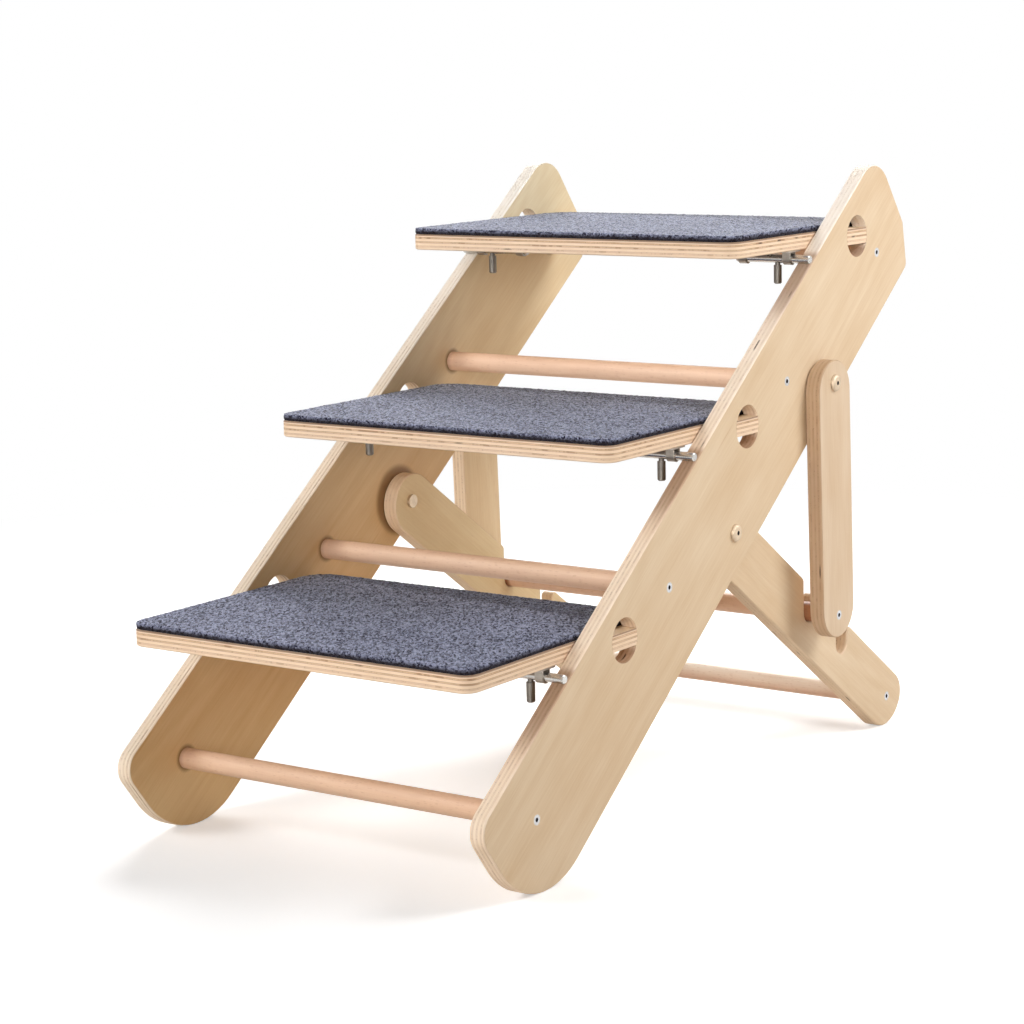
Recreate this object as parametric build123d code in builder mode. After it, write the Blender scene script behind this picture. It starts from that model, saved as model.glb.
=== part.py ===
from build123d import *
import math
import os

os.makedirs("parts", exist_ok=True)

# Folding pet stairs: three carpeted treads turn in round holes of two sloped side boards,
# six barrel bolts hold the treads level, and notched legs with struts prop the boards up.
# Millimetres and degrees. X is the width, Y runs from front to back, Z is up.
# The origin is on the floor, at the middle of the overall width and depth.

# Driving dimensions: the stance
slope_angle = 37.0
inner_width = 370.0
tread_count = 3
tread_pitch = 262.0

# Side boards
panel_thickness = 15.0
panel_length = 850.0
panel_width = 130.0
lowest_pivot_reach = 245.0
pivot_line_inset = 38.5
pivot_hole_radius = 20.0
toe_radius = 20.0
heel_radius = 80.0
nose_radius = 34.0
tip_cut_along = 20.0
tip_cut_across = 40.0
tip_cut_radius = 8.0
edge_chamfer = 1.0

# Treads and their carpets
tread_thickness = 15.0
tread_front = 203.0
tread_back = 56.0
tread_side_gap = 1.0
tread_front_radius = 13.0
tread_back_radius = 25.0
tab_clearance = 0.3
carpet_thickness = 6.0

# Round rails
rail_radius = 9.5
rail_edge_inset = 19.0
rail_gap = 0.3
top_rail_setback = 40.5
top_rail_gap = 1.5

# Legs and struts
fold_pivot_inset = 30.5
leg_thickness = 15.0
leg_width = 60.0
leg_pivot_along = 186.5
leg_pivot_margin = 24.0
leg_reach = 387.0
foot_radius = 37.0
leg_tip_radius = 22.0
foot_rail_beyond = 8.0
foot_rail_across = 3.0
strut_thickness = 15.0
strut_width = 60.0
strut_pivot_along = 385.0
strut_reach = 225.0
strut_pivot_margin = 21.5
bar_across = 8.5
notch_side_gap = 1.5
notch_seat_gap = 0.3
notch_spacing = 78.0
notch_mouth_radius = 5.0

# Pivot bolts, sleeve nuts and washers
bolt_radius = 3.0
bolt_head_radius = 8.0
bolt_head_height = 3.5
bolt_dome_share = 0.8
bolt_socket_radius = 2.0
bolt_socket_depth = 2.0
bolt_tip_gap = 3.0
sleeve_radius = 4.0
sleeve_flange_radius = 6.5
sleeve_flange_thickness = 3.0
sleeve_end_gap = 5.0
pivot_clearance = 0.05
washer_radius = 10.0
washer_thickness = 1.0

# Wood screws through the boards into the ends of the rails
screw_head_radius = 4.5
screw_radius = 2.5
screw_length = 45.0
screw_socket_radius = 2.2
screw_socket_depth = 1.8

# Barrel bolts under the treads
latch_length = 60.0
latch_width = 26.0
latch_plate_thickness = 1.5
latch_corner_radius = 3.0
latch_edge_gap = 1.0
rod_radius = 4.0
rod_length = 78.0
rod_chamfer = 0.8
rod_clearance = 0.1
rod_plate_gap = 2.5
rod_rest_gap = 0.2
strap_length = 8.0
strap_thickness = 1.5
strap_end_inset = 2.0
handle_reach = 35.0
handle_radius = 3.75
handle_neck_radius = 2.5
handle_neck_length = 2.0
handle_length = 17.5
handle_chamfer = 1.0
latch_screw_head_radius = 3.0
latch_screw_head_height = 1.0
latch_screw_inset_along = 14.0
latch_screw_inset_across = 4.0

# Slope directions: along runs up the slope, out runs square to it, up and to the front
slope = math.radians(slope_angle)
front_out = pivot_line_inset
back_out = pivot_line_inset - panel_width
low_end = -lowest_pivot_reach
high_end = panel_length - lowest_pivot_reach
inner_x = inner_width / 2
outer_x = inner_x + panel_thickness


def slope_offset(along, out):
    """Y and Z of a point given along and out of the slope, from the lowest pivot."""
    y = along * math.cos(slope) - out * math.sin(slope)
    z = along * math.sin(slope) + out * math.cos(slope)
    return y, z


# The boards stand on their heels, so the heel sets the height of the lowest pivot
heel_y, heel_z = slope_offset(low_end + heel_radius, back_out + heel_radius)
lowest_pivot_z = heel_radius - heel_z

# The legs lean until the round lower corners of their ends touch the floor
fold_out = back_out + fold_pivot_inset
leg_y, leg_z = slope_offset(leg_pivot_along, fold_out)
leg_drop = lowest_pivot_z + leg_z - foot_radius
foot_across = foot_radius - leg_width / 2
leg_turn = math.atan2(foot_across, leg_reach) + math.asin(
    leg_drop / math.hypot(leg_reach, foot_across)
)
leg_angle = math.degrees(leg_turn)
leg_end = leg_reach + foot_radius

# The overall depth runs from the toes or the lowest tread to the tips of the legs
toe_y, toe_z = slope_offset(low_end + toe_radius, front_out - toe_radius)
front_y = min(toe_y - toe_radius, -tread_front)
tip_along = leg_end - leg_tip_radius
tip_across = leg_width / 2 - leg_tip_radius
tip_y = leg_y + tip_along * math.cos(leg_turn) + tip_across * math.sin(leg_turn)
lowest_pivot_y = -(front_y + tip_y + leg_tip_radius) / 2


def slope_point(along, out):
    """Y and Z of a point on the slope, in the frame of the whole part."""
    y, z = slope_offset(along, out)
    return lowest_pivot_y + y, lowest_pivot_z + z


def slope_plane(x):
    """Plane of a side board: its X axis runs up the slope and its Y axis out of it."""
    return Plane(
        origin=(x, lowest_pivot_y, lowest_pivot_z),
        x_dir=(0, math.cos(slope), math.sin(slope)),
        z_dir=(1, 0, 0),
    )


def side_plane(x, place):
    """Plane square to the width, with its origin at a (Y, Z) place."""
    return Plane(origin=(x, place[0], place[1]), x_dir=(0, 1, 0), z_dir=(1, 0, 0))


def board_plane(x, place, angle):
    """Plane of a leg or strut: its X axis points down from the pivot at this angle."""
    turn = math.radians(angle)
    return Plane(
        origin=(x, place[0], place[1]),
        x_dir=(0, math.cos(turn), -math.sin(turn)),
        z_dir=(1, 0, 0),
    )


tread_pivots = [slope_point(step * tread_pitch, 0) for step in range(tread_count)]
leg_pivot = slope_point(leg_pivot_along, fold_out)
strut_pivot = slope_point(strut_pivot_along, fold_out)

# Rails: one under the front of each tread when the treads lie along the slope,
# and one behind the highest pivot, close below the highest tread
rail_along = rail_edge_inset - tread_front
rail_out = -(tread_thickness / 2 + rail_radius + rail_gap)
rail_places = [
    slope_point(step * tread_pitch + rail_along, rail_out) for step in range(tread_count)
]
top_rail_drop = tread_thickness / 2 + rail_radius + top_rail_gap
top_rail_place = (
    tread_pivots[-1][0] + top_rail_setback,
    tread_pivots[-1][1] - top_rail_drop,
)
rail_places.append(top_rail_place)
rail_names = ["rail_bottom", "rail_middle", "rail_upper", "rail_top"]

# Places along a leg, and across it towards its upper edge, counted from its pivot
def leg_point(along, across):
    """Y and Z of a place on the legs, in the frame of the whole part."""
    y = leg_pivot[0] + along * math.cos(leg_turn) + across * math.sin(leg_turn)
    z = leg_pivot[1] - along * math.sin(leg_turn) + across * math.cos(leg_turn)
    return y, z


# The bar between the struts rests in the first notch of each leg
pivots_y = strut_pivot[0] - leg_pivot[0]
pivots_z = strut_pivot[1] - leg_pivot[1]
strut_along = pivots_y * math.cos(leg_turn) - pivots_z * math.sin(leg_turn)
strut_across = pivots_y * math.sin(leg_turn) + pivots_z * math.cos(leg_turn)
bar_along = strut_along + math.sqrt(strut_reach**2 - (strut_across - bar_across) ** 2)
bar_place = leg_point(bar_along, bar_across)
strut_angle = math.degrees(
    math.atan2(strut_pivot[1] - bar_place[1], bar_place[0] - strut_pivot[0])
)
notch_half_width = rail_radius + notch_side_gap
notch_lift = notch_half_width - rail_radius - notch_seat_gap
notch_along = bar_along - notch_lift * math.sin(leg_turn)
notch_across = bar_across + notch_lift * math.cos(leg_turn)
foot_place = leg_point(leg_reach + foot_rail_beyond, foot_rail_across)

# Places across the width
leg_outer_x = inner_x - washer_thickness
leg_inner_x = leg_outer_x - leg_thickness
strut_inner_x = outer_x + washer_thickness
strut_outer_x = strut_inner_x + strut_thickness
tread_half_width = inner_x - tread_side_gap

# Places of the barrel bolts, from the pivot of their tread
rod_drop = tread_thickness / 2 + latch_plate_thickness + rod_plate_gap + rod_radius
rod_out = front_out + rod_radius + rod_rest_gap
rod_forward = (rod_out + rod_drop * math.cos(slope)) / math.sin(slope)
latch_outer_x = tread_half_width - latch_edge_gap
latch_middle_x = latch_outer_x - latch_length / 2
handle_x = outer_x - handle_reach


def save(part, label):
    """Label one finished piece and write its file."""
    part.label = label
    export_step(part, f"parts/{label}.step")


def mirrored(part):
    """The same piece on the other side of the stairs."""
    with BuildPart() as other:
        add(part)
        mirror(about=Plane.YZ, mode=Mode.REPLACE)
    return other.part


def save_pair(part, name):
    """Write a right-hand piece and its mirror image."""
    save(mirrored(part), f"left_{name}")
    save(part, f"right_{name}")


def save_group(part, label):
    """Write right-hand pieces together with their mirror images, as separate solids."""
    with BuildPart() as both:
        add(part)
        mirror(about=Plane.YZ)
    save(both.part, label)


# Side boards
with BuildPart() as side_panel:
    with BuildSketch(slope_plane(inner_x)) as panel_outline:
        heel = (low_end, back_out)
        toe = (low_end, front_out)
        nose = (high_end, front_out)
        tip_front = (high_end, back_out + tip_cut_across)
        tip_back = (high_end - tip_cut_along, back_out)
        with BuildLine():
            Polyline(heel, toe, nose, tip_front, tip_back, close=True)
        make_face()
        corner_radii = [
            (heel, heel_radius),
            (toe, toe_radius),
            (nose, nose_radius),
            (tip_front, tip_cut_radius),
            (tip_back, tip_cut_radius),
        ]
        for corner, radius in corner_radii:
            fillet(panel_outline.vertices().sort_by_distance(corner)[0], radius)
    extrude(amount=panel_thickness)
    chamfer(side_panel.faces().filter_by(Axis.X).edges(), edge_chamfer)
    with BuildSketch(slope_plane(inner_x)):
        with Locations(*[(step * tread_pitch, 0) for step in range(tread_count)]):
            Circle(pivot_hole_radius)
        with Locations((leg_pivot_along, fold_out), (strut_pivot_along, fold_out)):
            Circle(sleeve_radius)
    extrude(amount=panel_thickness, mode=Mode.SUBTRACT)
    for place in rail_places:
        with Locations(side_plane(outer_x, place)):
            CounterSinkHole(screw_radius, screw_head_radius, panel_thickness, 90)
save_pair(side_panel.part, "side_panel")


def build_rail(place, half_length, board_thickness):
    """A round rail across the stairs, drilled at both ends for its screws."""
    with BuildPart() as rail:
        with BuildSketch(side_plane(-half_length, place)):
            Circle(rail_radius)
        extrude(amount=2 * half_length)
        for end_x, direction in ((half_length, -1), (-half_length, 1)):
            with BuildSketch(side_plane(end_x, place)):
                Circle(screw_radius)
            extrude(amount=direction * (screw_length - board_thickness), mode=Mode.SUBTRACT)
    return rail.part


for name, place in zip(rail_names, rail_places):
    save(build_rail(place, inner_x, panel_thickness), name)


def build_screws(head_x, places):
    """Countersunk socket screws, driven inwards with their heads flush at head_x."""
    head_depth = screw_head_radius - screw_radius
    with BuildPart() as screws:
        for place in places:
            with BuildSketch(side_plane(head_x, place)):
                Circle(screw_radius)
            extrude(amount=-screw_length)
            with BuildSketch(side_plane(head_x, place)):
                Circle(screw_head_radius)
            extrude(amount=-head_depth, taper=45)
            with BuildSketch(side_plane(head_x, place)):
                RegularPolygon(screw_socket_radius, 6)
            extrude(amount=-screw_socket_depth, mode=Mode.SUBTRACT)
    return screws.part


rail_screws = build_screws(outer_x, rail_places)
save(rail_screws, "rail_screws_right")
save(mirrored(rail_screws), "rail_screws_left")


# Legs, their foot rail and its screws
leg_plane = board_plane(leg_inner_x, leg_pivot, leg_angle)
leg_start = leg_width / 2 - leg_pivot_margin
notches = [(notch_along + step * notch_spacing, notch_across) for step in range(2)]
with BuildPart() as leg:
    with BuildSketch(leg_plane) as leg_outline:
        with Locations((leg_start, 0)):
            Rectangle(leg_end - leg_start, leg_width, align=(Align.MIN, Align.CENTER))
        end_corners = leg_outline.vertices().group_by(Axis.X)[-1].sort_by(Axis.Y)
        fillet(end_corners[0], foot_radius)
        fillet(leg_outline.vertices().sort_by_distance(end_corners[-1])[0], leg_tip_radius)
        with Locations((leg_start, 0)):
            Circle(leg_width / 2)
        with Locations(*notches):
            Circle(notch_half_width, mode=Mode.SUBTRACT)
            Rectangle(
                2 * notch_half_width,
                leg_width,
                rotation=leg_angle,
                align=(Align.CENTER, Align.MIN),
                mode=Mode.SUBTRACT,
            )
        upper_corners = leg_outline.vertices().group_by(Axis.Y)[-1].sort_by(Axis.X)
        fillet(upper_corners[1:-1], notch_mouth_radius)
    extrude(amount=leg_thickness)
    chamfer(leg.faces().filter_by(Axis.X).edges(), edge_chamfer)
    with BuildSketch(leg_plane):
        Circle(sleeve_radius + pivot_clearance)
    extrude(amount=leg_thickness, mode=Mode.SUBTRACT)
    with Locations(side_plane(leg_outer_x, foot_place)):
        CounterSinkHole(screw_radius, screw_head_radius, leg_thickness, 90)
save_pair(leg.part, "leg")
save(build_rail(foot_place, leg_inner_x, leg_thickness), "foot_rail")
save_group(build_screws(leg_outer_x, [foot_place]), "foot_rail_screws")

# Struts, the bar between them and its screws
strut_plane = board_plane(strut_inner_x, strut_pivot, strut_angle)
strut_start = strut_width / 2 - strut_pivot_margin
strut_stop = strut_reach - strut_start
with BuildPart() as strut:
    with BuildSketch(strut_plane):
        with Locations(((strut_start + strut_stop) / 2, 0)):
            SlotCenterToCenter(strut_stop - strut_start, strut_width)
    extrude(amount=strut_thickness)
    chamfer(strut.faces().filter_by(Axis.X).edges(), edge_chamfer)
    with BuildSketch(strut_plane):
        Circle(sleeve_radius + pivot_clearance)
    extrude(amount=strut_thickness, mode=Mode.SUBTRACT)
    with Locations(side_plane(strut_outer_x, bar_place)):
        CounterSinkHole(screw_radius, screw_head_radius, strut_thickness, 90)
save_pair(strut.part, "strut")
save(build_rail(bar_place, strut_inner_x, strut_thickness), "strut_bar")
save_group(build_screws(strut_outer_x, [bar_place]), "strut_bar_screws")


def build_pivot_bolt(place, head_x, sleeve_x):
    """A domed bolt whose shank runs inwards from its head, into a sleeve nut."""
    shank_length = head_x - sleeve_x - bolt_tip_gap
    with BuildPart() as bolt:
        with BuildSketch(side_plane(head_x, place)):
            Circle(bolt_head_radius)
        extrude(amount=bolt_head_height)
        rim = bolt.edges().filter_by(GeomType.CIRCLE).sort_by(Axis.X)[-1]
        fillet(rim, bolt_head_height * bolt_dome_share)
        with BuildSketch(side_plane(head_x, place)):
            Circle(bolt_radius)
        extrude(amount=-shank_length)
        with BuildSketch(side_plane(head_x + bolt_head_height, place)):
            RegularPolygon(bolt_socket_radius, 6)
        extrude(amount=-bolt_socket_depth, mode=Mode.SUBTRACT)
    return bolt.part


def build_sleeve(place, flange_x, head_x):
    """A sleeve nut: a flange on the inner face and a sleeve that the boards turn on."""
    with BuildPart() as sleeve:
        with BuildSketch(side_plane(flange_x, place)):
            Circle(sleeve_radius)
        extrude(amount=head_x - flange_x - sleeve_end_gap)
        with BuildSketch(side_plane(flange_x, place)):
            Circle(sleeve_flange_radius)
        extrude(amount=-sleeve_flange_thickness)
        with BuildSketch(side_plane(flange_x, place)):
            Circle(bolt_radius)
        extrude(amount=head_x - flange_x, mode=Mode.SUBTRACT)
    return sleeve.part


def build_washer(place, x):
    """A thin washer round a sleeve, between two boards."""
    with BuildPart() as washer:
        with BuildSketch(side_plane(x, place)):
            Circle(washer_radius)
            Circle(sleeve_radius + pivot_clearance, mode=Mode.SUBTRACT)
        extrude(amount=washer_thickness)
    return washer.part


save_group(build_pivot_bolt(leg_pivot, outer_x, leg_inner_x), "leg_pivot_bolts")
save_group(build_sleeve(leg_pivot, leg_inner_x, outer_x), "leg_pivot_sleeves")
save_group(build_washer(leg_pivot, leg_outer_x), "leg_washers")
save_group(build_pivot_bolt(strut_pivot, strut_outer_x, inner_x), "strut_pivot_bolts")
save_group(build_sleeve(strut_pivot, inner_x, strut_outer_x), "strut_pivot_sleeves")
save_group(build_washer(strut_pivot, outer_x), "strut_washers")


def tread_outline(pivot, height):
    """The outline shared by a tread and its carpet, on a level plane over the pivot."""
    depth = tread_front + tread_back
    middle = (tread_back - tread_front) / 2
    with BuildSketch(Plane.XY.offset(pivot[1] + height)) as outline:
        with Locations((0, pivot[0] + middle)):
            Rectangle(2 * tread_half_width, depth)
        fillet(outline.vertices().group_by(Axis.Y)[0], tread_front_radius)
        fillet(outline.vertices().group_by(Axis.Y)[-1], tread_back_radius)
    return outline.sketch


def under_plane(pivot, x, drop):
    """Plane facing down under a tread, over the line of its barrel bolts."""
    return Plane(
        origin=(x, pivot[0] - rod_forward, pivot[1] - drop),
        x_dir=(1, 0, 0),
        z_dir=(0, 0, -1),
    )


def build_tread(pivot):
    """A plywood tread with a tab at each side that turns in the hole of a side board."""
    tab_radius = pivot_hole_radius - tab_clearance
    with BuildPart() as tread:
        add(tread_outline(pivot, -tread_thickness / 2))
        extrude(amount=tread_thickness)
        chamfer(tread.faces().filter_by(Axis.Z).edges(), edge_chamfer)
        with BuildSketch(side_plane(-outer_x, pivot)):
            Circle(tab_radius)
            Rectangle(2 * tab_radius, tread_thickness, mode=Mode.INTERSECT)
        extrude(amount=2 * outer_x)
    return tread.part


def build_carpet(pivot):
    """The carpet pad on a tread, a plain slab with the outline of the tread."""
    with BuildPart() as carpet:
        add(tread_outline(pivot, tread_thickness / 2))
        extrude(amount=carpet_thickness)
    return carpet.part


# Screws of one barrel bolt, from the middle of its plate
latch_screw_x = latch_length / 2 - latch_screw_inset_along
latch_screw_y = latch_width / 2 - latch_screw_inset_across
latch_screw_places = [
    (side * latch_screw_x, row * latch_screw_y) for side in (-1, 1) for row in (-1, 1)
]


def build_latch_plate(pivot):
    """The plate of a barrel bolt with its two straps and the heads of its four screws."""
    plate_drop = tread_thickness / 2
    strap_inner = rod_radius + rod_clearance
    strap_outer = strap_inner + strap_thickness
    rod_place = (pivot[0] - rod_forward, pivot[1] - rod_drop)
    strap_rise = rod_drop - plate_drop - latch_plate_thickness
    with BuildPart() as plate:
        with BuildSketch(under_plane(pivot, latch_middle_x, plate_drop)):
            RectangleRounded(latch_length, latch_width, latch_corner_radius)
        extrude(amount=latch_plate_thickness)
        strap_x = latch_length / 2 - strap_end_inset - strap_length / 2
        for side in (-1, 1):
            start_x = latch_middle_x + side * strap_x - strap_length / 2
            with BuildSketch(side_plane(start_x, rod_place)):
                Circle(strap_outer)
                Rectangle(2 * strap_outer, strap_rise, align=(Align.CENTER, Align.MIN))
                Circle(strap_inner, mode=Mode.SUBTRACT)
                Rectangle(
                    2 * strap_inner,
                    strap_rise,
                    align=(Align.CENTER, Align.MIN),
                    mode=Mode.SUBTRACT,
                )
            extrude(amount=strap_length)
        with BuildSketch(under_plane(pivot, latch_middle_x, plate_drop + latch_plate_thickness)):
            with Locations(*latch_screw_places):
                Circle(latch_screw_head_radius)
        extrude(amount=latch_screw_head_height)
    return plate.part


def build_latch_rod(pivot):
    """The sliding rod of a barrel bolt, with a blind hole for the neck of its handle."""
    rod_place = (pivot[0] - rod_forward, pivot[1] - rod_drop)
    with BuildPart() as rod:
        with BuildSketch(side_plane(outer_x, rod_place)):
            Circle(rod_radius)
        extrude(amount=-rod_length)
        chamfer(rod.edges().filter_by(GeomType.CIRCLE).sort_by(Axis.X)[-1], rod_chamfer)
        with BuildSketch(under_plane(pivot, handle_x, rod_drop)):
            Circle(handle_neck_radius)
        extrude(amount=rod_radius, mode=Mode.SUBTRACT)
    return rod.part


def build_latch_handle(pivot):
    """The handle of a barrel bolt, which hangs from its rod by a thinner neck."""
    handle_drop = rod_drop + rod_radius + handle_neck_length
    with BuildPart() as handle:
        with BuildSketch(under_plane(pivot, handle_x, rod_drop)):
            Circle(handle_neck_radius)
        extrude(amount=handle_drop - rod_drop)
        with BuildSketch(under_plane(pivot, handle_x, handle_drop)):
            Circle(handle_radius)
        extrude(amount=handle_length)
        rims = handle.edges().filter_by(GeomType.CIRCLE).group_by(Axis.Z)
        chamfer(rims[0], handle_chamfer)
    return handle.part


tread_names = ["lower", "middle", "upper"]
for name, pivot in zip(tread_names, tread_pivots):
    save(build_tread(pivot), f"tread_{name}")
    save(build_carpet(pivot), f"carpet_{name}")
    save_pair(build_latch_plate(pivot), f"latch_plate_{name}")
    save_pair(build_latch_rod(pivot), f"latch_rod_{name}")
    save_pair(build_latch_handle(pivot), f"latch_handle_{name}")
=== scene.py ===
import math

import bmesh
import bpy
from mathutils import Matrix, Vector


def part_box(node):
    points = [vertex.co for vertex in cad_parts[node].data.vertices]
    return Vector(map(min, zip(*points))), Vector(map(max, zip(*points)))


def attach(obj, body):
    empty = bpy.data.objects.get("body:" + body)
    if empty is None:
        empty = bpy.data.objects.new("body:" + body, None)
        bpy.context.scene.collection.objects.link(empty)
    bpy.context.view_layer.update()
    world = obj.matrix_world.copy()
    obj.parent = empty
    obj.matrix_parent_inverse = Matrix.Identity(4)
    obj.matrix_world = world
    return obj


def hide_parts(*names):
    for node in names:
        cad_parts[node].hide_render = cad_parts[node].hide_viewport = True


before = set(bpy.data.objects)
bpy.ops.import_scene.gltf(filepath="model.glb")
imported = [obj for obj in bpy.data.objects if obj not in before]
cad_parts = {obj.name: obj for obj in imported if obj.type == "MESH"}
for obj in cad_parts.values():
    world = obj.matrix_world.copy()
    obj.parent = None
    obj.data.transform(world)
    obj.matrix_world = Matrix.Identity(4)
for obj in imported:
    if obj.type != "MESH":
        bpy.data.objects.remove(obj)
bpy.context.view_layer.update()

bl_info = {
    "name": "Folding Pet Stairs",
    "version": (1, 0, 0),
    "blender": (4, 5, 0),
    "location": "View3D > Sidebar > Pet Stairs",
    "description": "Finishes the folding pet stairs: plywood, rails, carpets and hardware",
    "category": "Object",
}

STEPS = ("lower", "middle", "upper")
SIDES = ("left", "right")
PLAIN = (1.0, 1.0, 1.0)

# How the side boards, the legs and the struts lie when seen from the side, about X
SLOPE_ANGLE = math.radians(37.0)
LEG_ANGLE = math.radians(-34.78)
STRUT_ANGLE = math.radians(-87.0)
LEG_HALF_WIDTH = 0.030

# Where the faces of a board and the skin of its inner side begin, from the middle of its
# thickness and in parts of it
FACE_DEPTH = 0.493
INNER_DEPTH = 0.4

# Radius of a pivot bolt's socket, and how far below a screw's head its socket begins
SOCKET_RADIUS = 0.00205
SOCKET_DEPTH = 0.0003

# Corners of the carpet pads, as lengths along their sides, and how near to a side the
# upright edges of the back corners lie
FRONT_CORNER = 0.012
BACK_CORNER = 0.024
CORNER_SEGMENTS = 8
CORNER_REGION = 0.01

# The painted shadow at the back of a pad: its depth in the middle, what it gains for each
# metre to the right, and the softness of its border
BACK_SHADOW_DEPTH = 0.038
BACK_SHADOW_GAIN = 0.12
BACK_SHADOW_BORDER = 0.012

# How fast the pile comes to stand free above the backing, and the height of the flat back
PILE_FREEDOM = 1.6
BACKING_HEIGHT = 0.0008

# The way in which the pile of the carpets leans, about Z
NAP_ANGLE = math.radians(35.0)

# The floor: its side, its colour and own glow for the camera, and where it turns white
FLOOR_SIDE = 40.0
FLOOR_SHOWN = (0.86, 0.86, 0.86)
FLOOR_GLOW = 0.40
FLOOR_NEAR = 0.75
FLOOR_FAR = 1.7

# What the lamps point at, and the powers of two lamps as shares of their neighbours'
STAIRS_MIDDLE = (0.0, 0.0, 0.35)
UPPER_BACK = (0.0, 0.35, 0.75)
LOW_SHARE = 0.29
LEFT_SHARE = 1.25

# The camera, in the frame of the part
CAMERA_PLACE = (1.4315, -2.0582, 0.6924)
CAMERA_YAW = math.radians(35.44)
CAMERA_TILT = math.radians(80.18)
CAMERA_ROLL = math.radians(-1.285)
CAMERA_LENS = 95.0
SENSOR_WIDTH = 36.0


def middle_of(node):
    """The middle of a CAD node's box."""
    low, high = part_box(node)
    return (low + high) / 2


def size_of(node):
    """The three sides of a CAD node's box."""
    low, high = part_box(node)
    return high - low


# Settings


class WoodSettings(bpy.types.PropertyGroup):
    """Colours and plies of the plywood and the rails."""

    face_colour: bpy.props.FloatVectorProperty(
        name="Face", description="Colour of the outer veneer",
        subtype="COLOR", size=3, min=0, max=1, default=(0.74, 0.565, 0.375),
    )
    edge_light: bpy.props.FloatVectorProperty(
        name="Side-grain plies", description="Colour of the plies cut along their grain",
        subtype="COLOR", size=3, min=0, max=1, default=(0.985, 0.81, 0.635),
    )
    edge_dark: bpy.props.FloatVectorProperty(
        name="End-grain plies", description="Colour of the plies cut across their grain",
        subtype="COLOR", size=3, min=0, max=1, default=(0.60, 0.40, 0.24),
    )
    ply_count: bpy.props.IntProperty(
        name="Plies", description="Number of plies in a board", default=7, min=3, max=15,
    )
    dark_share: bpy.props.FloatProperty(
        name="Dark plies", description="Thickness of a dark ply in parts of a pale one",
        default=0.6, min=0.1, max=1,
    )
    rail_colour: bpy.props.FloatVectorProperty(
        name="Rails", description="Colour of the round rails",
        subtype="COLOR", size=3, min=0, max=1, default=(0.80, 0.54, 0.375),
    )


class CarpetSettings(bpy.types.PropertyGroup):
    """Sizes and colours of the carpet pads."""

    pile_cell: bpy.props.FloatProperty(
        name="Pile spacing", description="Spacing of the points that form the pile",
        unit="LENGTH", default=0.0013, min=0.001, max=0.01, precision=4,
    )
    tuft_size: bpy.props.FloatProperty(
        name="Tuft size", description="Width of one tuft of the pile",
        unit="LENGTH", default=0.0025, min=0.001, max=0.02, precision=4,
    )
    tuft_height: bpy.props.FloatProperty(
        name="Tuft height", description="How far tufts stand above the gaps between them",
        unit="LENGTH", default=0.0007, min=0, max=0.01, precision=4,
    )
    lean: bpy.props.FloatProperty(
        name="Lean", description="How narrow a tuft is across the lean of the pile",
        default=0.35, min=0.1, max=1,
    )
    edge_inset: bpy.props.FloatProperty(
        name="Edge inset", description="How far the pad stays inside the edge of its tread",
        unit="LENGTH", default=0.0006, min=0, max=0.01, precision=4,
    )
    dark_colour: bpy.props.FloatVectorProperty(
        name="Dark yarn", description="Colour of the dark yarn",
        subtype="COLOR", size=3, min=0, max=1, default=(0.018, 0.018, 0.034),
    )
    light_colour: bpy.props.FloatVectorProperty(
        name="Light yarn", description="Colour of the light yarn",
        subtype="COLOR", size=3, min=0, max=1, default=(0.326, 0.348, 0.485),
    )


class MetalSettings(bpy.types.PropertyGroup):
    """Colours of the hardware."""

    zinc_colour: bpy.props.FloatVectorProperty(
        name="Zinc", description="Colour of the zinc plated pieces",
        subtype="COLOR", size=3, min=0, max=1, default=(0.42, 0.375, 0.325),
    )
    rod_colour: bpy.props.FloatVectorProperty(
        name="Rods", description="Colour of the rods of the barrel bolts",
        subtype="COLOR", size=3, min=0, max=1, default=(0.60, 0.58, 0.55),
    )
    steel_colour: bpy.props.FloatVectorProperty(
        name="Steel", description="Colour of screws and washers",
        subtype="COLOR", size=3, min=0, max=1, default=(0.60, 0.60, 0.61),
    )
    brass_colour: bpy.props.FloatVectorProperty(
        name="Bolts", description="Colour of the yellow plated pivot bolts",
        subtype="COLOR", size=3, min=0, max=1, default=(0.60, 0.48, 0.35),
    )
    # Painted shade in the sockets of the screw and bolt heads
    socket_shade_colour: bpy.props.FloatVectorProperty(
        name="Sockets", description="Colour of the dull sockets in the heads",
        subtype="COLOR", size=3, min=0, max=1, default=(0.09, 0.085, 0.085),
    )


class StageSettings(bpy.types.PropertyGroup):
    """Lamps and floor round the stairs."""

    key_power: bpy.props.FloatProperty(
        name="Key lamp", description="Power of the lamp at the right", unit="POWER",
        default=37.5, min=0,
    )
    front_power: bpy.props.FloatProperty(
        name="Front lamp", description="Power of the lamp in front", unit="POWER",
        default=300.0, min=0,
    )
    fill_power: bpy.props.FloatProperty(
        name="Fill lamp", description="Power of the lamp beside the camera", unit="POWER",
        default=6.0, min=0,
    )
    back_power: bpy.props.FloatProperty(
        name="Back lamp", description="Power of the lamp behind", unit="POWER",
        default=150.0, min=0,
    )
    sky_strength: bpy.props.FloatProperty(
        name="Room light", description="Strength of the even light from all round",
        default=0.03, min=0,
    )
    floor_colour: bpy.props.FloatVectorProperty(
        name="Floor", description="Colour of the floor in the light that it sends back",
        subtype="COLOR", size=3, min=0, max=1, default=(0.62, 0.56, 0.49),
    )


# Materials

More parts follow.
